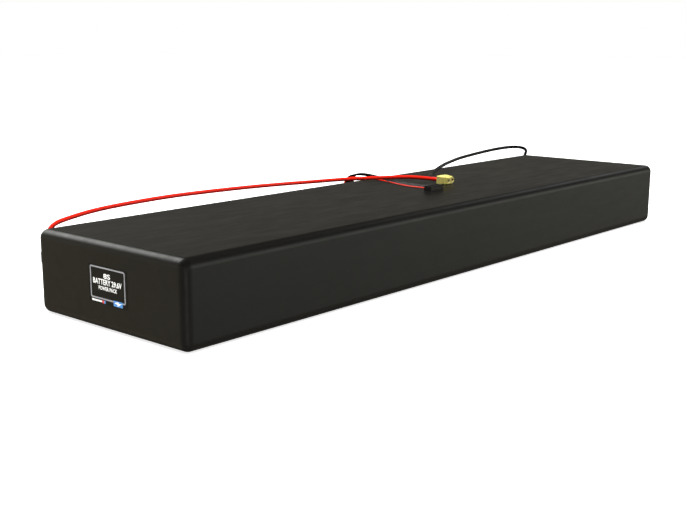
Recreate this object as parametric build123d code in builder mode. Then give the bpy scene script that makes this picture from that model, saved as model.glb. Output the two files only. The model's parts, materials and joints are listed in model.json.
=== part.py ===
from build123d import *
import math
import os

# Flat lithium pack, 8 cells in series by 9 in parallel.
# Frame: origin under the middle of the pack, +X along its length, +Z up.
# The rating label is on the -X end and every lead leaves the +Y side.

# ---- pack envelope ----
pack_length = 859.0
pack_width = 211.0
pack_height = 80.0
edge_radius = 8.6
film_wall = 1.2
lip_thickness = 0.8
lip_length = 3.0
lip_root = 1.5

# ---- padding and plates round the cells ----
foam_thickness = 3.0
foam_end_gap = 0.5
end_pad_thickness = 6.0
end_plate_thickness = 1.6
stiffener_thickness = 1.0

# ---- cells ----
columns = 9
layers = 8
separator_thickness = 1.0
pad_thickness = 0.6
pad_margin = 3.0
cell_corner = 1.5
cell_gap = 0.3
tab_space = 16.0
terrace_depth = 5.0
terrace_thickness = 1.0
terrace_margin = 3.0

# ---- tabs, boards and bars on the +Y face of the cells ----
tab_width = 22.0
tab_thickness = 0.4
tab_offset = 23.0
tab_slot_clearance = 0.3
board_thickness = 1.6
board_margin = 0.5
link_width = 26.0
link_thickness = 1.0
link_overhang = 1.5
link_bar_height = 3.0
link_bar_thickness = 0.8
busbar_height = 8.0
busbar_thickness = 1.5
busbar_leg_width = 8.0
busbar_gap = 0.3
busbar_foot_height = 4.8
insulator_thickness = 1.0
collector_width = 30.0
collector_height = 20.0
collector_thickness = 1.6

# ---- main leads ----
lead_diameter = 4.5
lead_hole_clearance = 0.3
lead_offset = 5.0
boot_width = 11.0
boot_depth = 10.0
boot_height = 12.0
boot_fillet = 1.5
neck_radius = 3.6
positive_neck_length = 11.3
negative_neck_reach = 8.0
elbow_radius = 4.8
lead_exit_height = 50.0
positive_exit_x = -415.0
negative_exit_x = 415.0

# ---- balance wires ----
balance_ways = layers + 1
balance_diameter = 1.7
balance_pitch = 2.2
balance_exit_x = 18.5
balance_exit_height = 58.0
balance_offset = 3.0
balance_boot_depth = 6.0
balance_boot_height = 14.0
balance_boot_margin = 2.6
balance_elbow_radius = 2.0

# ---- two pole connector, lying on the top face ----
connector_x = 75.0
connector_rear_y = 7.0
cap_width = 17.4
cap_height = 10.0
cap_length = 6.0
body_width = 16.0
body_height = 9.0
body_length = 5.5
nose_width = 13.8
nose_height = 7.8
nose_length = 3.5
nose_chamfer = 2.2
cap_fillet = 0.8
pole_pitch = 7.2
socket_bore_radius = 1.75
socket_bore_depth = 9.0
socket_outer_radius = 2.45
socket_recess = 0.4
socket_barrel_radius = 2.25

# ---- balance plug, lying on the top face ----
plug_x = 22.5
plug_rear_y = -16.0
plug_pitch = 2.5
plug_margin = 2.45
plug_depth = 9.8
plug_height = 5.75
plug_rib_height = 0.5
plug_rib_width = 1.4
plug_fillet = 0.35
contact_side = 1.9
contact_length = 7.6
contact_bore = 1.1
contact_bore_depth = 5.0
contact_height = 2.9
window_width = 1.4
window_length = 2.2

# ---- rating label on the -X end ----
label_width = 55.0
label_height = 35.0
label_thickness = 0.15
label_corner = 1.5
label_y = -1.8
label_z = 42.1

# ---- cord routes, chosen by hand ----
positive_lead_route = (
    (-415.0, 110.5, 61.3), (-415.0, 110.5, 72.0), (-408.0, 110.5, 81.0), (-390.0, 110.5, 84.5),
    (-360.0, 110.5, 88.5), (-318.0, 110.5, 90.5), (-262.0, 111.0, 91.5), (-206.0, 111.5, 90.5),
    (-150.0, 112.0, 89.0), (-98.0, 111.5, 87.0), (-50.0, 109.0, 85.0), (-15.0, 89.0, 86.5),
    (14.0, 68.5, 87.0), (38.5, 50.0, 87.5), (59.0, 39.5, 86.5), (71.4, 24.0, 85.0), (71.4, 7.0, 85.0),
)
negative_lead_route = (
    (423.0, 110.5, 58.0), (431.0, 110.5, 66.0), (439.0, 110.0, 77.0), (444.0, 110.0, 84.5),
    (445.5, 118.0, 88.0), (435.5, 126.0, 89.5), (418.0, 130.5, 89.5), (392.0, 132.0, 89.0),
    (356.0, 130.0, 88.0), (312.0, 124.0, 87.0), (268.0, 116.0, 86.0), (232.0, 101.5, 86.5),
    (196.0, 88.0, 86.5), (158.0, 72.5, 85.0), (124.0, 55.5, 84.5), (98.0, 40.0, 84.5),
    (78.6, 24.0, 85.0), (78.6, 7.0, 85.0),
)
# middle wire of the flat balance harness, then how far apart neighbours are in X and in Y
balance_route = (
    (18.5, 108.5, 65.0, 2.2, 0.0), (18.5, 108.5, 74.8, 2.2, 0.0), (20.5, 107.0, 85.5, 2.15, 0.2),
    (27.0, 98.0, 88.2, 1.95, 0.7), (36.0, 84.0, 86.0, 1.75, 1.0), (41.5, 70.0, 83.0, 1.85, 0.8),
    (41.0, 52.0, 81.2, 2.0, 0.2), (35.5, 32.0, 81.0, 2.1, -0.1), (28.0, 10.0, 81.6, 2.3, -0.1),
    (22.5, -5.0, 82.9, 2.5, 0.0), (22.5, -16.0, 82.9, 2.5, 0.0),
)
balance_lift = (0.0, 0.9, 0.1, 0.7, 0.0, 0.8, 0.2, 0.6, 0.0)
balance_lift_share = (0.0, 0.0, 0.4, 1.0, 0.8, 0.4, 0.3, 0.5, 0.5, 0.0, 0.0)
bend_share = 0.45

os.makedirs("parts", exist_ok=True)

# ---- worked out from the sizes above ----
half_length = pack_length / 2
half_width = pack_width / 2
top = pack_height
lead_radius = lead_diameter / 2
balance_radius = balance_diameter / 2
seam_x = half_length - edge_radius
flat_y = half_width - edge_radius
inner_x = half_length - film_wall
inner_y = half_width - film_wall
core_x = inner_x - end_pad_thickness
core_y = inner_y - foam_thickness
core_low = film_wall + foam_thickness
core_high = top - core_low
stack_x = core_x - end_plate_thickness
stack_low = core_low + stiffener_thickness
stack_high = core_high - stiffener_thickness
stack_height = stack_high - stack_low
mid_z = top / 2
column_pitch = 2 * stack_x / columns
cell_width = column_pitch - separator_thickness
cell_thickness = (stack_height - (layers - 1) * pad_thickness) / layers
layer_pitch = cell_thickness + pad_thickness
cell_front_y = -core_y + cell_gap
cell_back_y = core_y - tab_space
cell_depth = cell_back_y - cell_front_y
board_y = cell_back_y + terrace_depth
link_y = board_y + board_thickness
bar_y = link_y + link_thickness
busbar_y = bar_y + link_bar_thickness + busbar_gap
insulator_y = busbar_y + busbar_thickness
collector_y = insulator_y + insulator_thickness
tail_start_y = collector_y + collector_thickness
foam_half_x = seam_x - lip_length - foam_end_gap
lead_y = half_width + lead_offset
balance_y = half_width + balance_offset
balance_boot_width = (balance_ways - 1) * balance_pitch + 2 * balance_boot_margin
pole_height = top + cap_height / 2
connector_length = cap_length + body_length + nose_length
mouth_y = connector_rear_y - connector_length
plug_width = (balance_ways - 1) * plug_pitch + 2 * plug_margin
pin_height = top + contact_height


def layer_z(layer):
    return stack_low + cell_thickness / 2 + layer * layer_pitch


def column_x(column):
    return -stack_x + column_pitch * (column + 0.5)


def save(builder, name):
    builder.part.label = name
    export_step(builder.part, f"parts/{name}.step")


# ---- outer film: a tube closed by two moulded end caps ----
with BuildPart() as envelope:
    with Locations((0, 0, mid_z)):
        Box(pack_length, pack_width, pack_height)
    fillet(envelope.edges(), edge_radius)

with BuildPart() as cavity:
    with Locations((0, 0, mid_z)):
        Box(2 * inner_x, 2 * inner_y, pack_height - 2 * film_wall)
    fillet(cavity.edges(), edge_radius - film_wall)

# ---- lead tails: from the busbars, through the film, up inside each boot ----
positive_corner = Vector(positive_exit_x, lead_y, lead_exit_height)
negative_corner = Vector(negative_exit_x, lead_y, lead_exit_height)
positive_direction = Vector(0, 0, 1)
negative_direction = Vector(1, 0, 1).normalized()
negative_neck_length = negative_neck_reach * math.sqrt(2)
positive_exit = positive_corner + positive_direction * positive_neck_length
negative_exit = negative_corner + negative_direction * negative_neck_length


def tail_path(start_y, corner, end, radius):
    return FilletPolyline((corner.X, start_y, corner.Z), corner, end, radius=radius)


with BuildPart() as positive_lead_tail:
    with BuildLine() as positive_tail_line:
        tail_path(insulator_y, positive_corner, positive_exit, elbow_radius)
    with BuildSketch(positive_tail_line.line ^ 0):
        Circle(lead_radius)
    sweep()
save(positive_lead_tail, "positive_lead_tail")

with BuildPart() as negative_lead_tail:
    with BuildLine() as negative_tail_line:
        tail_path(insulator_y, negative_corner, negative_exit, elbow_radius)
    with BuildSketch(negative_tail_line.line ^ 0):
        Circle(lead_radius)
    sweep()
save(negative_lead_tail, "negative_lead_tail")


def balance_x(way):
    return balance_exit_x + (way - (balance_ways - 1) / 2) * balance_pitch


balance_boot_top = balance_exit_height + balance_boot_height / 2
balance_tail_list = []
for way in range(balance_ways):
    with BuildPart() as one_tail:
        with BuildLine() as one_tail_line:
            tail_path(
                tail_start_y,
                Vector(balance_x(way), balance_y, balance_exit_height),
                Vector(balance_x(way), balance_y, balance_boot_top),
                balance_elbow_radius,
            )
        with BuildSketch(one_tail_line.line ^ 0):
            Circle(balance_radius)
        sweep()
    balance_tail_list.append(one_tail.part)

with BuildPart() as balance_tails:
    add(balance_tail_list)
save(balance_tails, "balance_tails")

# ---- rubber boots over the exits, on the +Y face ----
for name, corner, direction, neck_length, tail in (
    ("positive_lead_boot", positive_corner, positive_direction, positive_neck_length, positive_lead_tail),
    ("negative_lead_boot", negative_corner, negative_direction, negative_neck_length, negative_lead_tail),
):
    with BuildPart() as boot:
        with Locations((corner.X, half_width + boot_depth / 2, corner.Z)):
            Box(boot_width, boot_depth, boot_height)
        fillet(boot.edges() - boot.faces().sort_by(Axis.Y)[0].edges(), boot_fillet)
        with BuildSketch(Plane(origin=corner, z_dir=direction)):
            Circle(neck_radius)
        extrude(amount=neck_length)
        add(tail.part, mode=Mode.SUBTRACT)
    save(boot, name)

with BuildPart() as balance_wire_boot:
    with Locations((balance_exit_x, half_width + balance_boot_depth / 2, balance_exit_height)):
        Box(balance_boot_width, balance_boot_depth, balance_boot_height)
    fillet(balance_wire_boot.faces().sort_by(Axis.Y)[-1].edges(), boot_fillet)
    add(balance_tails.part, mode=Mode.SUBTRACT)
save(balance_wire_boot, "balance_wire_boot")


def exit_holes(middle_y, depth):
    """Holes for the two lead tails and the row of balance tails, through a sheet across Y."""
    hole_radius = lead_radius + lead_hole_clearance
    for corner in (positive_corner, negative_corner):
        with Locations(Location((corner.X, middle_y, corner.Z), (90, 0, 0))):
            Cylinder(hole_radius, depth, mode=Mode.SUBTRACT)
    slot_width = (balance_ways - 1) * balance_pitch + balance_diameter + 2 * lead_hole_clearance
    slot_height = balance_diameter + 2 * lead_hole_clearance
    with Locations((balance_exit_x, middle_y, balance_exit_height)):
        Box(slot_width, depth, slot_height, mode=Mode.SUBTRACT)


with BuildPart() as shrink_sleeve:
    add(envelope.part)
    add(cavity.part, mode=Mode.SUBTRACT)
    with Locations((0, 0, mid_z)):
        Box(2 * seam_x, pack_width, pack_height, mode=Mode.INTERSECT)
    exit_holes(inner_y + film_wall / 2, 2 * film_wall)
save(shrink_sleeve, "shrink_sleeve")

with BuildPart() as lip_core:
    with Locations((0, 0, mid_z)):
        Box(2 * inner_x, 2 * (inner_y - lip_thickness), pack_height - 2 * (film_wall + lip_thickness))
    fillet(lip_core.edges(), edge_radius - film_wall - lip_thickness)

for name, side in (("end_cap_label_side", -1), ("end_cap_far_side", 1)):
    with BuildPart() as cap_wall:
        add(envelope.part)
        add(cavity.part, mode=Mode.SUBTRACT)
        with Locations((side * (seam_x + edge_radius / 2), 0, mid_z)):
            Box(edge_radius, pack_width, pack_height, mode=Mode.INTERSECT)
    with BuildPart() as end_cap:
        add(cavity.part)
        with Locations((side * (seam_x + (lip_root - lip_length) / 2), 0, mid_z)):
            Box(lip_length + lip_root, pack_width, pack_height, mode=Mode.INTERSECT)
        add(lip_core.part, mode=Mode.SUBTRACT)
        add(cap_wall.part)
    save(end_cap, name)


# ---- foam sheets between the film and the cell block ----
foam_z = film_wall + foam_thickness / 2
for name, middle, size in (
    ("foam_sheet_bottom", (0, 0, foam_z), (2 * foam_half_x, 2 * flat_y, foam_thickness)),
    ("foam_sheet_top", (0, 0, top - foam_z), (2 * foam_half_x, 2 * flat_y, foam_thickness)),
    ("foam_sheet_front", (0, -(core_y + foam_thickness / 2), mid_z),
     (2 * foam_half_x, foam_thickness, top - 2 * edge_radius)),
):
    with BuildPart() as foam:
        with Locations(middle):
            Box(*size)
    save(foam, name)

with BuildPart() as foam_sheet_back:
    with Locations((0, core_y + foam_thickness / 2, mid_z)):
        Box(2 * foam_half_x, foam_thickness, top - 2 * edge_radius)
    exit_holes(core_y + foam_thickness / 2, 2 * foam_thickness)
save(foam_sheet_back, "foam_sheet_back")

for name, side in (("foam_pad_label_end", -1), ("foam_pad_far_end", 1)):
    with BuildPart() as end_pad:
        with Locations((side * (core_x + end_pad_thickness / 2), 0, mid_z)):
            Box(end_pad_thickness, 2 * flat_y, top - 2 * edge_radius)
    save(end_pad, name)

# ---- glass fibre plates that box the cells in ----
for name, side in (("end_plate_label_end", -1), ("end_plate_far_end", 1)):
    with BuildPart() as end_plate:
        with Locations((side * (stack_x + end_plate_thickness / 2), 0, mid_z)):
            Box(end_plate_thickness, 2 * core_y, core_high - core_low)
    save(end_plate, name)

for name, middle_z in (
    ("stiffener_plate_bottom", core_low + stiffener_thickness / 2),
    ("stiffener_plate_top", core_high - stiffener_thickness / 2),
):
    with BuildPart() as stiffener:
        with Locations((0, 0, middle_z)):
            Box(2 * stack_x, 2 * core_y, stiffener_thickness)
    save(stiffener, name)

# ---- pouch cells: one node for each column of eight ----
cell_middle_y = (cell_front_y + cell_back_y) / 2
for column in range(columns):
    with BuildPart() as cell_column:
        for layer in range(layers):
            with BuildSketch(Plane(origin=(column_x(column), cell_front_y, layer_z(layer)),
                                   x_dir=(-1, 0, 0), z_dir=(0, 1, 0))):
                RectangleRounded(cell_width, cell_thickness, cell_corner)
            extrude(amount=cell_depth)
            with Locations((column_x(column), cell_back_y + terrace_depth / 2, layer_z(layer))):
                Box(cell_width - 2 * terrace_margin, terrace_depth, terrace_thickness)
    save(cell_column, f"cell_column_{column + 1}")

with BuildPart() as cell_pads:
    for layer in range(layers - 1):
        pad_z = layer_z(layer) + (cell_thickness + pad_thickness) / 2
        with Locations((0, cell_middle_y, pad_z)):
            with GridLocations(column_pitch, 1, columns, 1):
                Box(cell_width - 2 * pad_margin, cell_depth - 2 * pad_margin, pad_thickness)
save(cell_pads, "cell_pads")

with BuildPart() as column_separators:
    with Locations((0, cell_middle_y, mid_z)):
        with GridLocations(column_pitch, 1, columns - 1, 1):
            Box(separator_thickness, cell_depth, stack_height)
save(column_separators, "column_separators")

# ---- tabs: left and right swap places from one layer to the next ----
tab_length = link_y - cell_back_y - terrace_depth


def tab_side(layer, positive):
    return 1 if (layer % 2 == 0) == positive else -1


def tab_x(column, layer, positive):
    return column_x(column) + tab_side(layer, positive) * tab_offset


for name, positive in (("positive_tabs", True), ("negative_tabs", False)):
    with BuildPart() as tabs:
        for column in range(columns):
            for layer in range(layers):
                with Locations((tab_x(column, layer, positive), board_y + tab_length / 2, layer_z(layer))):
                    Box(tab_width, tab_length, tab_thickness)
    save(tabs, name)

with BuildPart() as tab_boards:
    with Locations((0, board_y + board_thickness / 2, mid_z)):
        with GridLocations(column_pitch, 1, columns, 1):
            Box(column_pitch - 2 * board_margin, board_thickness, stack_height - 2 * board_margin)
    for layer in range(layers):
        with Locations((0, board_y + board_thickness / 2, layer_z(layer))):
            with GridLocations(column_pitch, 1, columns, 1):
                with GridLocations(2 * tab_offset, 1, 2, 1):
                    Box(tab_width + 2 * tab_slot_clearance, 2 * board_thickness,
                        tab_thickness + 2 * tab_slot_clearance, mode=Mode.SUBTRACT)
save(tab_boards, "tab_boards")

# ---- link plates join each cell's tab to its neighbour's, up every column ----
with BuildPart() as series_link_plates:
    for column in range(columns):
        for joint in range(1, layers):
            side = tab_side(joint, False)
            middle = (column_x(column) + side * tab_offset, link_y + link_thickness / 2,
                      (layer_z(joint - 1) + layer_z(joint)) / 2)
            with Locations(middle):
                Box(link_width, link_thickness, layer_pitch + 2 * link_overhang)
save(series_link_plates, "series_link_plates")

# ---- bars along the pack tie the same joint of all nine columns together ----
bar_half_x = column_x(columns - 1) + tab_offset + link_width / 2
with BuildPart() as balance_link_bars:
    for joint in range(1, layers):
        bar_z = (layer_z(joint - 1) + layer_z(joint)) / 2
        with Locations((0, bar_y + link_bar_thickness / 2, bar_z)):
            Box(2 * bar_half_x, link_bar_thickness, link_bar_height)
save(balance_link_bars, "balance_link_bars")

# ---- busbars: a bar with a foot on every column's end tab, and a leg to its lead ----
for name, layer, positive, lead_x in (
    ("positive_busbar", layers - 1, True, positive_exit_x),
    ("negative_busbar", 0, False, negative_exit_x),
):
    bar_z = layer_z(layer)
    edge_z = bar_z + math.copysign(busbar_height / 2, bar_z - mid_z)
    leg_end_z = lead_exit_height - math.copysign(busbar_leg_width / 2, bar_z - mid_z)
    bar_middle_y = busbar_y + busbar_thickness / 2
    foot_depth = busbar_y - link_y
    busbar_half_x = max(abs(lead_x) - busbar_leg_width / 2, bar_half_x)
    with BuildPart() as busbar:
        with Locations((0, bar_middle_y, bar_z)):
            Box(2 * busbar_half_x, busbar_thickness, busbar_height)
        with Locations((lead_x, bar_middle_y, (edge_z + leg_end_z) / 2)):
            Box(busbar_leg_width, busbar_thickness, abs(edge_z - leg_end_z))
        with Locations((tab_side(layer, positive) * tab_offset, link_y + foot_depth / 2, bar_z)):
            with GridLocations(column_pitch, 1, columns, 1):
                Box(link_width, foot_depth, busbar_foot_height)
    save(busbar, name)

with BuildPart() as busbar_insulator:
    with Locations((0, insulator_y + insulator_thickness / 2, mid_z)):
        Box(2 * stack_x, insulator_thickness, stack_height)
    for corner in (positive_corner, negative_corner):
        with Locations(Location((corner.X, insulator_y, corner.Z), (90, 0, 0))):
            Cylinder(lead_radius + lead_hole_clearance, 4 * insulator_thickness, mode=Mode.SUBTRACT)
save(busbar_insulator, "busbar_insulator")

with BuildPart() as balance_collector_board:
    with Locations((balance_exit_x, collector_y + collector_thickness / 2, balance_exit_height)):
        Box(collector_width, collector_thickness, collector_height)
save(balance_collector_board, "balance_collector_board")

# ---- rating label ----
with BuildPart() as rating_label:
    with BuildSketch(Plane(origin=(-half_length, label_y, label_z), x_dir=(0, -1, 0), z_dir=(-1, 0, 0))):
        RectangleRounded(label_width, label_height, label_corner)
    extrude(amount=label_thickness)
save(rating_label, "rating_label")

# ---- two pole connector: mouth towards -Y ----
pole_x = (connector_x - pole_pitch / 2, connector_x + pole_pitch / 2)
cap_front_y = connector_rear_y - cap_length
body_front_y = cap_front_y - body_length
socket_front_y = mouth_y + socket_recess

with BuildPart() as connector_cap:
    with Locations((connector_x, connector_rear_y - cap_length / 2, pole_height)):
        Box(cap_width, cap_length, cap_height)
    fillet(connector_cap.edges().filter_by(Axis.Y), cap_fillet)
    for x in pole_x:
        with Locations(Location((x, cap_front_y + cap_length / 2, pole_height), (90, 0, 0))):
            Cylinder(socket_barrel_radius, cap_length, mode=Mode.SUBTRACT)
save(connector_cap, "connector_cap")

with BuildPart() as connector_housing:
    with Locations((connector_x, cap_front_y - body_length / 2, pole_height)):
        Box(body_width, body_length, body_height)
    fillet(connector_housing.edges().filter_by(Axis.Y), cap_fillet)
    with BuildSketch(Plane(origin=(connector_x, body_front_y, pole_height), x_dir=(1, 0, 0),
                           z_dir=(0, -1, 0))):
        with BuildLine():
            half_nose = nose_width / 2
            half_height = nose_height / 2
            Polyline(
                (-half_nose, -half_height),
                (half_nose - nose_chamfer, -half_height),
                (half_nose, -half_height + nose_chamfer),
                (half_nose, half_height - nose_chamfer),
                (half_nose - nose_chamfer, half_height),
                (-half_nose, half_height),
                close=True,
            )
        make_face()
    extrude(amount=nose_length)
    for x in pole_x:
        with Locations(Location((x, (cap_front_y + mouth_y) / 2, pole_height), (90, 0, 0))):
            Cylinder(socket_outer_radius, body_length + nose_length, mode=Mode.SUBTRACT)
save(connector_housing, "connector_housing")

for name, x in (("positive_socket", pole_x[0]), ("negative_socket", pole_x[1])):
    with BuildPart() as socket:
        with BuildSketch(Plane(origin=(x, connector_rear_y, pole_height), x_dir=(1, 0, 0), z_dir=(0, -1, 0))):
            Circle(socket_barrel_radius)
        extrude(amount=cap_length)
        with BuildSketch(Plane(origin=(x, cap_front_y, pole_height), x_dir=(1, 0, 0), z_dir=(0, -1, 0))):
            Circle(socket_outer_radius)
        extrude(amount=cap_front_y - socket_front_y)
        with BuildSketch(Plane(origin=(x, socket_front_y, pole_height), x_dir=(1, 0, 0), z_dir=(0, 1, 0))):
            Circle(socket_bore_radius)
        extrude(amount=socket_bore_depth, mode=Mode.SUBTRACT)
    save(socket, name)

# ---- balance plug: wires enter the +Y side, mouth towards -Y ----
plug_mouth_y = plug_rear_y - plug_depth
contact_rear_y = plug_mouth_y + contact_length
base_height = plug_height - plug_rib_height


def plug_way_x(way):
    return plug_x + (way - (balance_ways - 1) / 2) * plug_pitch


with BuildPart() as contact_blanks:
    for way in range(balance_ways):
        with Locations((plug_way_x(way), plug_mouth_y + contact_length / 2, pin_height)):
            Box(contact_side, contact_length, contact_side)
        with BuildSketch(Plane(origin=(plug_way_x(way), contact_rear_y, pin_height), x_dir=(-1, 0, 0),
                               z_dir=(0, 1, 0))):
            Circle(balance_radius)
        extrude(amount=plug_rear_y - contact_rear_y)

with BuildPart() as balance_plug_housing:
    with Locations((plug_x, plug_mouth_y + plug_depth / 2, top + base_height / 2)):
        Box(plug_width, plug_depth, base_height)
    fillet(balance_plug_housing.edges().filter_by(Axis.Z), plug_fillet)
    for rib_y in (plug_mouth_y + plug_rib_width, plug_rear_y - plug_rib_width):
        with Locations((plug_x, rib_y, top + base_height + plug_rib_height / 2)):
            Box(plug_width - 2 * plug_fillet, plug_rib_width, plug_rib_height)
    for way in range(balance_ways):
        with Locations((plug_way_x(way), plug_mouth_y + plug_depth / 2, top + base_height)):
            Box(window_width, window_length, 2 * (top + base_height - pin_height), mode=Mode.SUBTRACT)
    add(contact_blanks.part, mode=Mode.SUBTRACT)
save(balance_plug_housing, "balance_plug_housing")

with BuildPart() as balance_plug_contacts:
    add(contact_blanks.part)
    with Locations((plug_x, plug_mouth_y + contact_bore_depth / 2, pin_height)):
        with GridLocations(plug_pitch, 1, balance_ways, 1):
            Box(contact_bore, contact_bore_depth, contact_bore, mode=Mode.SUBTRACT)
save(balance_plug_contacts, "balance_plug_contacts")


# ---- cords: straight runs joined by tangent arcs as large as the runs allow ----
def bend_radii(points):
    corners = [Vector(*point) for point in points]
    radii = []
    for before, corner, after in zip(corners, corners[1:], corners[2:]):
        shorter = min((corner - before).length, (after - corner).length)
        turn = math.radians((corner - before).get_angle(after - corner))
        radii.append(bend_share * shorter / math.tan(turn / 2))
    return radii


def balance_points(way):
    offset = way - (balance_ways - 1) / 2
    points = []
    for (x, y, z, step_x, step_y), share in zip(balance_route, balance_lift_share):
        points.append((x + offset * step_x, y + offset * step_y, z + share * balance_lift[way]))
    return points


cords = [
    ("positive_lead", positive_lead_route, lead_radius),
    ("negative_lead", negative_lead_route, lead_radius),
]
for way in range(balance_ways):
    cords.append((f"balance_wire_{way + 1}", balance_points(way), balance_radius))

for name, points, radius in cords:
    radii = bend_radii(points)
    with BuildPart() as cord:
        with BuildLine() as route:
            FilletPolyline(*points, radius=radii)
        with BuildSketch(route.line ^ 0):
            Circle(radius)
        sweep()
    save(cord, name)
    length = sum(edge.length for edge in route.line.edges())
    expected = math.pi * radius**2 * length
    print(name, "length", round(length, 1), "volume ratio", round(cord.part.volume / expected, 4),
          "radii", [round(value, 1) for value in radii])
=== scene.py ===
import bpy
import bmesh
import json
import math
from mathutils import Matrix, Vector


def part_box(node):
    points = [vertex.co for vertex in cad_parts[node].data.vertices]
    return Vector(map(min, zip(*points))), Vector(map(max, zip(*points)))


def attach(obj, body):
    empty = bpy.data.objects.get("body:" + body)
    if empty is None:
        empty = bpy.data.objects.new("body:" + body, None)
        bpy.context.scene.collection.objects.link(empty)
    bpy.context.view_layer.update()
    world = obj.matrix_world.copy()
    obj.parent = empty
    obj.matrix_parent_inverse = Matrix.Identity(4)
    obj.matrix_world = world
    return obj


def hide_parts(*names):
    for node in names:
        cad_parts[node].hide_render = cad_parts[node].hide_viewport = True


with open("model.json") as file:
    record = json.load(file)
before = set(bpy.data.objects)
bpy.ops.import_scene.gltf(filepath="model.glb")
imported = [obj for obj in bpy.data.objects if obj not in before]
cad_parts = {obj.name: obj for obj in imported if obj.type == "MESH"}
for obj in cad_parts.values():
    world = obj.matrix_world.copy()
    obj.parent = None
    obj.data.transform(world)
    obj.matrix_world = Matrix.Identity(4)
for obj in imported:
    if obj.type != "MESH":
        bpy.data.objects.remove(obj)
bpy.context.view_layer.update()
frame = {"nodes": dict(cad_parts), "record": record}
nodes = frame["nodes"]
scene = bpy.context.scene
MM = 0.001

# ---- camera, at the photograph's viewing angle ----
CAMERA_AZIMUTH = math.radians(-48.8505)
CAMERA_ELEVATION = math.radians(11.8666)
CAMERA_ROLL = math.radians(0.1475)
CAMERA_PLACE = Vector((-0.956252, -0.734889, 0.254682))
CAMERA_LENS = 54.329
CAMERA_SENSOR = 36.0

# ---- cords: the routes of the CAD tubes, in metres ----
LEAD_DIAMETER = 0.0045
LEAD_ROUTE = {
    "positive": (
        (-0.4150, 0.1105, 0.0613), (-0.4150, 0.1105, 0.0720), (-0.4080, 0.1105, 0.0810),
        (-0.3900, 0.1105, 0.0845), (-0.3600, 0.1105, 0.0885), (-0.3180, 0.1105, 0.0905),
        (-0.2620, 0.1110, 0.0915), (-0.2060, 0.1115, 0.0905), (-0.1500, 0.1120, 0.0890),
        (-0.0980, 0.1115, 0.0870), (-0.0500, 0.1090, 0.0850), (-0.0150, 0.0890, 0.0865),
        (0.0140, 0.0685, 0.0870), (0.0385, 0.0500, 0.0875), (0.0590, 0.0395, 0.0865),
        (0.0714, 0.0240, 0.0850), (0.0714, 0.0070, 0.0850),
    ),
    "negative": (
        (0.4230, 0.1105, 0.0580), (0.4310, 0.1105, 0.0660), (0.4390, 0.1100, 0.0770),
        (0.4440, 0.1100, 0.0845), (0.4455, 0.1180, 0.0880), (0.4355, 0.1260, 0.0895),
        (0.4180, 0.1305, 0.0895), (0.3920, 0.1320, 0.0890), (0.3560, 0.1300, 0.0880),
        (0.3120, 0.1240, 0.0870), (0.2680, 0.1160, 0.0860), (0.2320, 0.1015, 0.0865),
        (0.1960, 0.0880, 0.0865), (0.1580, 0.0725, 0.0850), (0.1240, 0.0555, 0.0845),
        (0.0980, 0.0400, 0.0845), (0.0786, 0.0240, 0.0850), (0.0786, 0.0070, 0.0850),
    ),
}
BALANCE_WAYS = 9
BALANCE_DIAMETER = 0.0017
# the middle wire, then how far apart neighbours are in X and in Y
BALANCE_ROUTE = (
    (0.0185, 0.1085, 0.0650, 0.00220, 0.0000), (0.0185, 0.1085, 0.0748, 0.00220, 0.0000),
    (0.0205, 0.1070, 0.0855, 0.00215, 0.0002), (0.0270, 0.0980, 0.0882, 0.00195, 0.0007),
    (0.0360, 0.0840, 0.0860, 0.00175, 0.0010), (0.0415, 0.0700, 0.0830, 0.00185, 0.0008),
    (0.0410, 0.0520, 0.0812, 0.00200, 0.0002), (0.0355, 0.0320, 0.0810, 0.00210, -0.0001),
    (0.0280, 0.0100, 0.0816, 0.00230, -0.0001), (0.0225, -0.0050, 0.0829, 0.00250, 0.0000),
    (0.0225, -0.0160, 0.0829, 0.00250, 0.0000),
)
BALANCE_LIFT = (0.0, 0.0009, 0.0001, 0.0007, 0.0, 0.0008, 0.0002, 0.0006, 0.0)
BALANCE_LIFT_SHARE = (0.0, 0.0, 0.4, 1.0, 0.8, 0.4, 0.3, 0.5, 0.5, 0.0, 0.0)
# the red wire lies lower in the hump than its neighbours
RED_WIRE_DROP = (0.0, 0.0, 0.0014, 0.0028, 0.0022, 0.0006, 0.0, 0.0, 0.0, 0.0, 0.0)


def add_camera():
    sin_a, cos_a = math.sin(CAMERA_AZIMUTH), math.cos(CAMERA_AZIMUTH)
    sin_e, cos_e = math.sin(CAMERA_ELEVATION), math.cos(CAMERA_ELEVATION)
    back = Vector((sin_a * cos_e, -cos_a * cos_e, sin_e))
    right = Vector((0.0, 0.0, 1.0)).cross(back).normalized()
    up = back.cross(right)
    roll_cos, roll_sin = math.cos(CAMERA_ROLL), math.sin(CAMERA_ROLL)
    rolled_right = roll_cos * right + roll_sin * up
    rolled_up = roll_cos * up - roll_sin * right
    data = bpy.data.cameras.new("camera")
    data.lens = CAMERA_LENS
    data.sensor_width = CAMERA_SENSOR
    data.clip_start = 0.01
    camera = bpy.data.objects.new("camera", data)
    scene.collection.objects.link(camera)
    turn = Matrix((rolled_right, rolled_up, back)).transposed()
    camera.matrix_world = Matrix.Translation(CAMERA_PLACE) @ turn.to_4x4()
    scene.camera = camera


def cord_curve(name, points, diameter):
    """One open NURBS curve with those control points."""
    data = bpy.data.curves.new(name, "CURVE")
    data.dimensions = "3D"
    data.resolution_u = 16
    data.bevel_depth = 1.0
    data.bevel_resolution = 5
    data.use_fill_caps = True
    spline = data.splines.new("NURBS")
    spline.points.add(len(points) - 1)
    for point, place in zip(spline.points, points):
        point.co = (*place, 1.0)
        point.radius = diameter / 2
    spline.order_u = 3
    spline.use_endpoint_u = True
    cord = bpy.data.objects.new(name, data)
    cord.visible_glossy = False  # the satin film shows no mirror image of it
    scene.collection.objects.link(cord)
    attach(cord, "root")
    return cord


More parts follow.
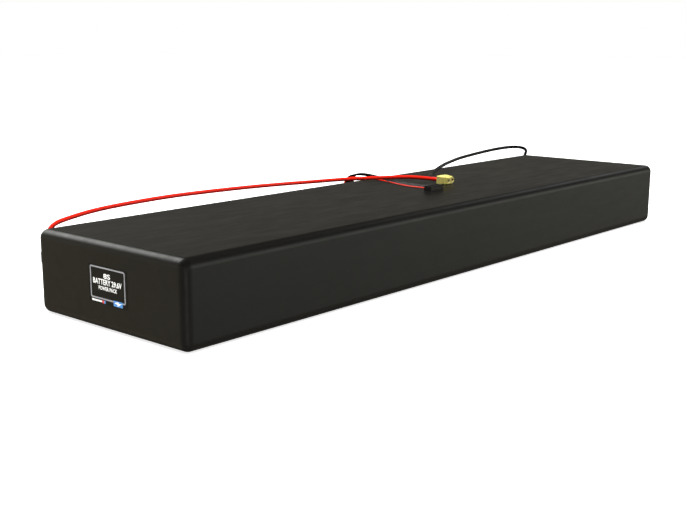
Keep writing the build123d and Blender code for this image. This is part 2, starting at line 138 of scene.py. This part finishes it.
def add_leads():
    for pole, slot in (("positive", "red_silicone"), ("negative", "black_silicone")):
        lead = cord_curve(pole + "_cable", LEAD_ROUTE[pole], LEAD_DIAMETER)
        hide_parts(pole + "_lead")
        lead.data.materials.append(materials[slot])


def add_balance_wires():
    for way in range(BALANCE_WAYS):
        side = way - (BALANCE_WAYS - 1) / 2
        route = []
        shares = zip(BALANCE_ROUTE, BALANCE_LIFT_SHARE, RED_WIRE_DROP)
        for (x, y, z, step_x, step_y), share, drop in shares:
            lift = share * BALANCE_LIFT[way] if way else -drop
            route.append((x + side * step_x, y + side * step_y, z + lift))
        slot = "red_silicone" if way == 0 else "black_silicone"
        wire = cord_curve(f"balance_cable_{way + 1}", route, BALANCE_DIAMETER)
        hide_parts(f"balance_wire_{way + 1}")
        wire.data.materials.append(materials["fine_" + slot])


# ---- materials ----
class Surface:
    """A procedural material. Patterns read the row frame, in metres."""

    def __init__(self, name, roughness=0.5, metallic=0.0, specular=0.5, **fixed):
        self.material = bpy.data.materials.new(name)
        self.material.use_nodes = True
        self.tree = self.material.node_tree
        self.shader = self.tree.nodes["Principled BSDF"]
        self.place = self.tree.nodes.new("ShaderNodeTexCoord").outputs["Object"]
        self.shader.inputs["Roughness"].default_value = roughness
        self.shader.inputs["Metallic"].default_value = metallic
        self.shader.inputs["Specular IOR Level"].default_value = specular
        for socket, value in fixed.items():
            self.shader.inputs[socket.replace("_", " ")].default_value = value

    def stretched(self, stretch):
        """The place, scaled along each axis."""
        mapping = self.tree.nodes.new("ShaderNodeMapping")
        mapping.inputs["Scale"].default_value = stretch
        self.tree.links.new(self.place, mapping.inputs["Vector"])
        return mapping.outputs["Vector"]

    def noise(self, size, detail=3.0, roughness=0.55, stretch=None, distortion=0.0):
        """Cloudy values whose features are about that size, in metres."""
        node = self.tree.nodes.new("ShaderNodeTexNoise")
        node.inputs["Scale"].default_value = 1 / size
        node.inputs["Detail"].default_value = detail
        node.inputs["Roughness"].default_value = roughness
        node.inputs["Distortion"].default_value = distortion
        place = self.stretched(stretch) if stretch else self.place
        self.tree.links.new(place, node.inputs["Vector"])
        return node.outputs["Fac"]

    def cells(self, size):
        """Distance from the middle of the nearest of many cells, about that size in metres."""
        node = self.tree.nodes.new("ShaderNodeTexVoronoi")
        node.inputs["Scale"].default_value = 1 / size
        self.tree.links.new(self.place, node.inputs["Vector"])
        return node.outputs["Distance"]

    def waves(self, size, direction, distortion=0.0):
        """Bands across X, Y or Z, one every size metres."""
        node = self.tree.nodes.new("ShaderNodeTexWave")
        node.bands_direction = direction
        node.inputs["Scale"].default_value = math.pi / 10 / size
        node.inputs["Distortion"].default_value = distortion
        self.tree.links.new(self.place, node.inputs["Vector"])
        return node.outputs["Fac"]

    def spread(self, value, low, high, to_low, to_high):
        """The value, with low..high taken to to_low..to_high and clamped."""
        node = self.tree.nodes.new("ShaderNodeMapRange")
        node.inputs["From Min"].default_value = low
        node.inputs["From Max"].default_value = high
        node.inputs["To Min"].default_value = to_low
        node.inputs["To Max"].default_value = to_high
        self.tree.links.new(value, node.inputs["Value"])
        return node.outputs["Result"]

    def combined(self, operation, first, second):
        node = self.tree.nodes.new("ShaderNodeMath")
        node.operation = operation
        for socket, value in zip(node.inputs, (first, second)):
            if isinstance(value, (int, float)):
                socket.default_value = value
            else:
                self.tree.links.new(value, socket)
        return node.outputs["Value"]

    def colours(self, value, *stops):
        """Sets the base colour from a value, with stops of (place, colour)."""
        node = self.tree.nodes.new("ShaderNodeValToRGB")
        points = node.color_ramp.elements
        while len(points) < len(stops):
            points.new(0.5)
        for point, (place, colour) in zip(points, stops):
            point.position = place
            point.color = (*colour, 1.0)
        self.tree.links.new(value, node.inputs["Fac"])
        self.tree.links.new(node.outputs["Color"], self.shader.inputs["Base Color"])

    def rough(self, value, low, high, to_low, to_high):
        result = self.spread(value, low, high, to_low, to_high)
        self.tree.links.new(result, self.shader.inputs["Roughness"])

    def bump(self, *layers):
        """Bump from layers of (value, height in metres)."""
        normal = None
        for value, height in layers:
            node = self.tree.nodes.new("ShaderNodeBump")
            node.inputs["Strength"].default_value = 1.0
            node.inputs["Distance"].default_value = height
            self.tree.links.new(value, node.inputs["Height"])
            if normal is not None:
                self.tree.links.new(normal, node.inputs["Normal"])
            normal = node.outputs["Normal"]
        self.tree.links.new(normal, self.shader.inputs["Normal"])


def shade(colour, factor):
    return tuple(channel * factor for channel in colour)


def shrink_film():
    """Satin black heat-shrink film: orange peel, faint draw lines and handling marks."""
    film = Surface("shrink_film", specular=0.34)
    tone = (0.0050, 0.0047, 0.0041)
    cloud = film.noise(0.09, detail=4)
    marks = film.noise(0.012, detail=6, roughness=0.7, stretch=(0.25, 1, 1))
    film.colours(cloud, (0.3, shade(tone, 0.9)), (0.7, shade(tone, 1.1)))
    film.rough(marks, 0.35, 0.65, 0.36, 0.44)
    peel = film.noise(0.0016, detail=2)
    drawn = film.noise(0.006, detail=2, stretch=(0.06, 1, 1))
    film.bump((peel, 0.000005), (drawn, 0.000004))
    return film.material


def label_film():
    label = Surface("label_film", specular=0.2)
    tone = (0.0075, 0.0068, 0.0056)
    label.colours(label.noise(0.004, detail=5), (0.3, shade(tone, 0.85)), (0.7, shade(tone, 1.15)))
    label.rough(label.noise(0.01, detail=5), 0.3, 0.7, 0.38, 0.5)
    label.bump((label.noise(0.0009, detail=2), 0.000008))
    return label.material


def printed_ink(name, tone):
    ink = Surface(name, specular=0.4)
    speckle = ink.noise(0.0012, detail=4, roughness=0.7)
    ink.colours(speckle, (0.25, shade(tone, 0.8)), (0.5, tone), (0.75, shade(tone, 1.08)))
    ink.rough(speckle, 0.3, 0.7, 0.42, 0.6)
    ink.bump((speckle, 0.00001))
    return ink.material


def silicone(name, tone, grain, sheen, specular):
    """Soft satin insulation with fine dust."""
    skin = Surface(name, specular=specular, Sheen_Weight=sheen, Sheen_Roughness=0.4)
    dust = skin.noise(grain * 2.5, detail=6, roughness=0.7)
    skin.colours(dust, (0.3, shade(tone, 0.88)), (0.62, tone), (0.8, shade(tone, 1.12)))
    skin.rough(skin.noise(grain * 6, detail=4), 0.3, 0.7, 0.3, 0.46)
    skin.bump((skin.noise(grain * 0.5, detail=3), grain * 0.012), (dust, grain * 0.03))
    return skin.material


def moulded(name, tone, peel_size, roughness, specular=0.45, subsurface=0.0):
    """Spark-eroded moulding texture with paler rubbed spots."""
    plastic = Surface(name, specular=specular, Subsurface_Weight=subsurface)
    if subsurface:
        plastic.shader.inputs["Subsurface Radius"].default_value = (1.0, 0.7, 0.25)
        plastic.shader.inputs["Subsurface Scale"].default_value = 0.001
    flow = plastic.noise(peel_size * 14, detail=5, distortion=0.6)
    grain = plastic.noise(peel_size, detail=2)
    plastic.colours(flow, (0.28, shade(tone, 0.86)), (0.55, tone), (0.8, shade(tone, 1.1)))
    plastic.rough(grain, 0.3, 0.7, roughness - 0.07, roughness + 0.07)
    plastic.bump((grain, peel_size * 0.06), (flow, peel_size * 0.15))
    return plastic.material


def metal(name, tone, roughness, grain_axis, line_size=0.0006, metallic=1.0):
    """Rolled or plated metal with fine lines along one axis and some tarnish."""
    plate = Surface(name, metallic=metallic)
    stretch = tuple(0.04 if axis == grain_axis else 1.0 for axis in "XYZ")
    lines = plate.noise(line_size, detail=3, stretch=stretch)
    tarnish = plate.noise(0.008, detail=6, roughness=0.65)
    plate.colours(tarnish, (0.25, shade(tone, 0.72)), (0.55, tone), (0.8, shade(tone, 1.08)))
    plate.rough(lines, 0.3, 0.7, roughness - 0.08, roughness + 0.1)
    plate.bump((lines, line_size * 0.03))
    return plate.material


def foam_sheet():
    foam = Surface("foam", roughness=0.9, specular=0.2, Sheen_Weight=0.2)
    pore_pits_and_shade = foam.cells(0.0009)
    tone = (0.13, 0.13, 0.14)
    # the colour is darker towards each pore's middle, where the bump sinks a pit: painted shade in the
    # pores
    foam.colours(pore_pits_and_shade, (0.0, shade(tone, 0.45)), (0.45, tone), (0.9, shade(tone, 1.2)))
    foam.bump((pore_pits_and_shade, 0.00012), (foam.noise(0.02), 0.0004))
    return foam.material


def glass_fibre():
    board = Surface("glass_fibre", specular=0.5)
    weave = board.combined("MULTIPLY", board.waves(0.0008, "X", 0.4), board.waves(0.0008, "Z", 0.4))
    tone = (0.55, 0.6, 0.36)
    board.colours(weave, (0.0, shade(tone, 0.8)), (0.5, tone), (1.0, shade(tone, 1.12)))
    board.rough(board.noise(0.004, detail=4), 0.3, 0.7, 0.3, 0.5)
    board.bump((weave, 0.00003))
    return board.material


def barley_paper():
    paper = Surface("barley_paper", roughness=0.85, specular=0.2)
    fibres = paper.noise(0.0012, detail=6, roughness=0.7, stretch=(0.3, 1, 1))
    tone = (0.66, 0.63, 0.52)
    paper.colours(fibres, (0.25, shade(tone, 0.82)), (0.55, tone), (0.8, shade(tone, 1.05)))
    paper.bump((fibres, 0.00005))
    return paper.material


def pouch_foil():
    foil = Surface("pouch_foil", metallic=0.85)
    crinkle = foil.noise(0.012, detail=5, roughness=0.6, distortion=0.8)
    tone = (0.72, 0.73, 0.74)
    foil.colours(crinkle, (0.25, shade(tone, 0.85)), (0.5, tone), (0.8, shade(tone, 1.05)))
    foil.rough(foil.noise(0.0008, detail=3), 0.3, 0.7, 0.3, 0.42)
    foil.bump((crinkle, 0.0003))
    return foil.material


RED = (0.90, 0.020, 0.008)
BLACK_RUBBER = (0.0022, 0.0022, 0.0024)
materials = {
    "black_film": shrink_film(),
    "label_film": label_film(),
    "foam": foam_sheet(),
    "glass_fibre": glass_fibre(),
    "barley_paper": barley_paper(),
    "pouch_foil": pouch_foil(),
    "aluminium_tab": metal("aluminium_tab", (0.8, 0.8, 0.81), 0.3, "Y"),
    "nickel": metal("nickel", (0.66, 0.64, 0.6), 0.28, "Z"),
    "copper": metal("copper", (0.72, 0.42, 0.28), 0.3, "X"),
    "red_silicone": silicone("red_silicone", RED, 0.0012, 0.03, 0.35),
    "black_silicone": silicone("black_silicone", BLACK_RUBBER, 0.0012, 0.0, 0.14),
    "fine_red_silicone": silicone("fine_red_silicone", RED, 0.0006, 0.03, 0.35),
    "fine_black_silicone": silicone("fine_black_silicone", BLACK_RUBBER, 0.0006, 0.0, 0.3),
    "boot_rubber": moulded("boot_rubber", (0.012, 0.012, 0.012), 0.0005, 0.55),
    "yellow_nylon": moulded("yellow_nylon", (0.90, 0.80, 0.24), 0.0004, 0.42, 0.5, 0.15),
    "gold_plate": metal("gold_plate", (1.0, 0.88, 0.5), 0.4, "Y", 0.0003, 0.6),
    # balance plug contacts in a dark dull tone instead of bright plating: painted shade standing in for
    # the shade inside the plug housing
    "plug_contact": metal("plug_contact", (0.16, 0.14, 0.1), 0.4, "Y", 0.0003),
    "black_nylon": moulded("black_nylon", (0.008, 0.008, 0.009), 0.0004, 0.45),
}


def dress_cad_nodes():
    for part in frame["record"]["subparts"]:
        data = nodes[part["node"]].data
        data.materials.clear()
        # the balance plug's contacts get the darkened metal: painted shade inside the housing
        finish = "plug_contact" if part["node"] == "balance_plug_contacts" else part["material_slot"]
        data.materials.append(materials[finish])


# ---- printed label ----
LABEL_BORDER_WIDTH = 50.0 * MM
LABEL_BORDER_HEIGHT = 29.3 * MM
LABEL_BORDER_LINE = 1.3 * MM
LABEL_BORDER_RADIUS = 2.2 * MM
LABEL_BORDER_SHIFT = (0.0, 1.3 * MM)
INK_THICKNESS = 0.04 * MM
MARK_THICKNESS = 0.06 * MM
BOLT_THICKNESS = 0.08 * MM
MARK_RADIUS = 0.5 * MM
CORNER_STEPS = 8
LETTER_WEIGHT = 0.024  # how much the strokes are thickened, as a share of the letters' size
WELD_DISTANCE = 1e-7
# words, then the middle of the line, its width and the height of its capitals, in mm
LABEL_LINES = (
    ("cell_count_print", "8S", (-0.7, 8.3), 9.8, 4.6),
    ("voltage_print", "BATTERY 29.6V", (-0.3, 2.7), 41.0, 5.2),
    ("pack_print", "POWER PACK", (0.2, -3.0), 26.6, 3.6),
)
# small marks under the border: name, ink, low and high corner in mm
LABEL_MARKS = (
    ("strip_print", "white_ink", (-23.6, -16.1), (-9.0, -14.5)),
    ("red_mark_print", "red_ink", (-8.6, -16.7), (-6.0, -14.1)),
    ("blue_mark_print", "blue_ink", (-5.8, -16.7), (-3.8, -14.1)),
    ("tag_print", "blue_ink", (7.8, -16.6), (20.6, -11.6)),
)
# a lightning sign for the tag, in mm from its middle
LABEL_BOLT = (
    (-5.2, 0.4), (0.4, 2.1), (0.8, 0.7), (5.2, 0.9), (-0.8, -2.1), (-0.6, -0.6),
)
TAG_MIDDLE = (14.2, -14.1)


def label_place():
    low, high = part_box("rating_label")
    middle = (low + high) / 2
    return Vector((low.x, middle.y, middle.z))


def on_label(u, v, lift=0.0):
    """A point of the label: u to the reader's right, v up, lift out of its face."""
    place = label_place()
    return Vector((place.x - lift, place.y - u, place.z + v))


def rounded_outline(width, height, radius):
    """The corners of a rounded rectangle round (0, 0), anticlockwise."""
    points = []
    for turn, (side_u, side_v) in enumerate(((1, 1), (-1, 1), (-1, -1), (1, -1))):
        centre_u = side_u * (width / 2 - radius)
        centre_v = side_v * (height / 2 - radius)
        for step in range(CORNER_STEPS + 1):
            angle = (turn + step / CORNER_STEPS) * math.pi / 2
            points.append((centre_u + radius * math.cos(angle), centre_v + radius * math.sin(angle)))
    return points


def printed(name, mesh, ink):
    piece = bpy.data.objects.new(name, mesh)
    scene.collection.objects.link(piece)
    mesh.materials.append(ink)
    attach(piece, "root")
    return piece


def flat_print(name, outlines, ink, thickness=INK_THICKNESS):
    """A thin print with one outline, or with an outer and an inner outline."""
    mesh = bpy.data.meshes.new(name)
    shape = bmesh.new()
    rings = []
    for lift in (0.0, thickness):
        rings.append([[shape.verts.new(on_label(u, v, lift)) for u, v in line] for line in outlines])
    count = len(outlines[0])
    for k in range(count):
        after = (k + 1) % count
        for line in range(len(outlines)):
            back, front = rings[0][line], rings[1][line]
            shape.faces.new((back[k], back[after], front[after], front[k]))
        if len(outlines) == 2:
            for outer, inner in rings:
                shape.faces.new((outer[k], outer[after], inner[after], inner[k]))
    if len(outlines) == 1:
        for (outer,) in rings:
            shape.faces.new(outer)
    bmesh.ops.recalc_face_normals(shape, faces=shape.faces)
    shape.to_mesh(mesh)
    shape.free()
    return printed(name, mesh, ink)


def text_print(name, words, middle, width, height, ink):
    """Words of exactly that width and capital height, as a thin mesh on the label."""
    data = bpy.data.curves.new(name, "FONT")
    data.body = words
    data.offset = LETTER_WEIGHT
    data.resolution_u = 3
    data.extrude = 0.5
    letters = bpy.data.objects.new(name + "_letters", data)
    mesh = bpy.data.meshes.new_from_object(letters)
    bpy.data.objects.remove(letters)
    bpy.data.curves.remove(data)
    mesh.name = name
    spans = [(min(v.co[k] for v in mesh.vertices), max(v.co[k] for v in mesh.vertices)) for k in range(3)]
    for vertex in mesh.vertices:
        share = [(vertex.co[k] - low) / (high - low) for k, (low, high) in enumerate(spans)]
        u = (middle[0] + (share[0] - 0.5) * width) * MM
        v = (middle[1] + (share[1] - 0.5) * height) * MM
        vertex.co = on_label(u, v, share[2] * INK_THICKNESS)
    shape = bmesh.new()
    shape.from_mesh(mesh)
    bmesh.ops.remove_doubles(shape, verts=shape.verts, dist=WELD_DISTANCE)
    bmesh.ops.recalc_face_normals(shape, faces=shape.faces)
    shape.to_mesh(mesh)
    shape.free()
    return printed(name, mesh, ink)


def moved(points, shift):
    return [(u + shift[0], v + shift[1]) for u, v in points]


def add_label_print():
    white = printed_ink("white_ink", (0.95, 0.95, 0.92))
    grey = printed_ink("grey_ink", (0.30, 0.30, 0.32))
    red = printed_ink("red_ink", (0.72, 0.05, 0.03))
    blue = printed_ink("blue_ink", (0.06, 0.26, 0.62))
    outer = rounded_outline(LABEL_BORDER_WIDTH, LABEL_BORDER_HEIGHT, LABEL_BORDER_RADIUS)
    line = 2 * LABEL_BORDER_LINE
    inner_radius = LABEL_BORDER_RADIUS - LABEL_BORDER_LINE
    inner = rounded_outline(LABEL_BORDER_WIDTH - line, LABEL_BORDER_HEIGHT - line, inner_radius)
    border = [moved(outer, LABEL_BORDER_SHIFT), moved(inner, LABEL_BORDER_SHIFT)]
    flat_print("label_border_print", border, grey)
    for name, words, middle, width, height in LABEL_LINES:
        text_print(name, words, middle, width, height, white)
    inks = {"white_ink": white, "red_ink": red, "blue_ink": blue}
    for name, ink, low, high in LABEL_MARKS:
        width, height = (high[0] - low[0]) * MM, (high[1] - low[1]) * MM
        middle = ((high[0] + low[0]) / 2 * MM, (high[1] + low[1]) / 2 * MM)
        outline = rounded_outline(width, height, MARK_RADIUS)
        flat_print(name, [moved(outline, middle)], inks[ink], MARK_THICKNESS)
    bolt = [((TAG_MIDDLE[0] + u) * MM, (TAG_MIDDLE[1] + v) * MM) for u, v in LABEL_BOLT]
    flat_print("bolt_print", [bolt], white, BOLT_THICKNESS)


# ---- light and floor ----
SOFTBOX_PLACE = (-0.3, -0.35, 3.0)
SOFTBOX_TARGET = (0.0, 0.0, 0.0)
SOFTBOX_SIDE = 1.6
SOFTBOX_POWER = 155.0
FLOOR_HALF_SIDE = 12.0
FLOOR_GLOW = 0.8
FLOOR_TONE = (0.93, 0.93, 0.93)


def aim(obj, place, target):
    obj.location = place
    obj.rotation_mode = "QUATERNION"
    obj.rotation_quaternion = (Vector(target) - Vector(place)).to_track_quat("-Z", "Y")


def add_softbox():
    data = bpy.data.lights.new("top_light", "AREA")
    data.shape = "RECTANGLE"
    data.size = SOFTBOX_SIDE
    data.size_y = SOFTBOX_SIDE
    data.energy = SOFTBOX_POWER
    lamp = bpy.data.objects.new("top_light", data)
    lamp.visible_camera = False
    lamp.visible_glossy = False  # the film mirrors the sky's bands only
    scene.collection.objects.link(lamp)
    aim(lamp, SOFTBOX_PLACE, SOFTBOX_TARGET)


# what the pack mirrors: height as the sine of its angle above the horizon, then colour
SKY_BANDS = (
    (-1.00, (0.08, 0.074, 0.06)), (-0.30, (0.09, 0.083, 0.066)), (-0.06, (0.12, 0.114, 0.095)),
    (0.05, (0.42, 0.398, 0.335)), (0.16, (0.37, 0.353, 0.305)), (0.30, (0.010, 0.010, 0.008)),
    (1.00, (0.05, 0.05, 0.05)),
)
# soft lights in the sky: direction, how much flatter than round, cosines of edge and core, colour
SKY_LIGHTS = (
    ((0.62, -0.78, 0.06), 2.2, (0.80, 0.97), (1.16, 1.19, 1.14)),
    ((0.90, 0.11, 0.42), 1.0, (0.975, 0.998), (1.0, 1.02, 1.04)),
    ((0.00, 0.80, 0.60), 1.0, (0.93, 0.985), (5.4, 5.4, 5.2)),
    ((-0.56, 0.79, -0.24), 1.0, (0.70, 0.95), (0.33, 0.285, 0.19)),
    ((0.83, -0.52, -0.20), 1.2, (0.75, 0.95), (0.10, 0.10, 0.08)),
    ((-0.62, -0.74, -0.25), 1.0, (0.975, 0.998), (1.9, 1.75, 1.6)),
)


def sky_light(tree, direction, flatness, cosines, colour):
    """A soft round or flattened patch of light in that direction."""
    aimed = Vector((direction[0], direction[1], direction[2] * flatness)).normalized()
    place = tree.nodes.new("ShaderNodeTexCoord")
    scale = tree.nodes.new("ShaderNodeVectorMath")
    scale.operation = "MULTIPLY"
    scale.inputs[1].default_value = (1.0, 1.0, flatness)
    unit = tree.nodes.new("ShaderNodeVectorMath")
    unit.operation = "NORMALIZE"
    dot = tree.nodes.new("ShaderNodeVectorMath")
    dot.operation = "DOT_PRODUCT"
    dot.inputs[1].default_value = aimed
    soft = tree.nodes.new("ShaderNodeMapRange")
    soft.interpolation_type = "SMOOTHSTEP"
    soft.inputs["From Min"].default_value = cosines[0]
    soft.inputs["From Max"].default_value = cosines[1]
    tinted = tree.nodes.new("ShaderNodeVectorMath")
    tinted.operation = "SCALE"
    tinted.inputs[0].default_value = colour
    tree.links.new(place.outputs["Generated"], scale.inputs[0])
    tree.links.new(scale.outputs["Vector"], unit.inputs[0])
    tree.links.new(unit.outputs["Vector"], dot.inputs[0])
    tree.links.new(dot.outputs["Value"], soft.inputs["Value"])
    tree.links.new(soft.outputs["Result"], tinted.inputs["Scale"])
    return tinted.outputs["Vector"]


def sky_bands(tree):
    place = tree.nodes.new("ShaderNodeTexCoord")
    axes = tree.nodes.new("ShaderNodeSeparateXYZ")
    height = tree.nodes.new("ShaderNodeMapRange")
    height.inputs["From Min"].default_value = -1.0
    ramp = tree.nodes.new("ShaderNodeValToRGB")
    points = ramp.color_ramp.elements
    while len(points) < len(SKY_BANDS):
        points.new(0.5)
    for point, (sine, colour) in zip(points, SKY_BANDS):
        point.position = (sine + 1) / 2
        point.color = (*colour, 1.0)
    tree.links.new(place.outputs["Generated"], axes.inputs["Vector"])
    tree.links.new(axes.outputs["Z"], height.inputs["Value"])
    tree.links.new(height.outputs["Result"], ramp.inputs["Fac"])
    return ramp.outputs["Color"]


def add_world():
    """White to the camera. The pack itself mirrors a dim studio with a few soft lights."""
    world = bpy.data.worlds.new("studio")
    scene.world = world
    world.use_nodes = True
    tree = world.node_tree
    seen = tree.nodes["Background"]
    seen.inputs["Color"].default_value = (1.0, 1.0, 1.0, 1.0)
    lit = tree.nodes.new("ShaderNodeBackground")
    total = sky_bands(tree)
    for direction, flatness, cosines, colour in SKY_LIGHTS:
        added = tree.nodes.new("ShaderNodeVectorMath")
        added.operation = "ADD"
        tree.links.new(total, added.inputs[0])
        tree.links.new(sky_light(tree, direction, flatness, cosines, colour), added.inputs[1])
        total = added.outputs["Vector"]
    tree.links.new(total, lit.inputs["Color"])
    rays = tree.nodes.new("ShaderNodeLightPath")
    mix = tree.nodes.new("ShaderNodeMixShader")
    tree.links.new(rays.outputs["Is Camera Ray"], mix.inputs["Fac"])
    tree.links.new(lit.outputs["Background"], mix.inputs[1])
    tree.links.new(seen.outputs["Background"], mix.inputs[2])
    tree.links.new(mix.outputs["Shader"], tree.nodes["World Output"].inputs["Surface"])


def add_floor():
    size = FLOOR_HALF_SIDE
    mesh = bpy.data.meshes.new("floor")
    corners = [(-size, -size, 0.0), (size, -size, 0.0), (size, size, 0.0), (-size, size, 0.0)]
    mesh.from_pydata(corners, [], [(0, 1, 2, 3)])
    floor = bpy.data.objects.new("floor", mesh)
    scene.collection.objects.link(floor)
    paint = Surface("floor_paint", roughness=0.9, specular=0.1, Emission_Strength=FLOOR_GLOW)
    paint.shader.inputs["Emission Color"].default_value = (1.0, 1.0, 1.0, 1.0)
    paint.colours(paint.noise(0.4), (0.3, shade(FLOOR_TONE, 0.99)), (0.7, shade(FLOOR_TONE, 1.01)))
    mesh.materials.append(paint.material)
    floor.visible_glossy = False


add_camera()
add_leads()
add_balance_wires()
dress_cad_nodes()
add_label_print()
add_world()
add_floor()
add_softbox()
scene.view_settings.view_transform = "Standard"
bpy.context.view_layer.update()
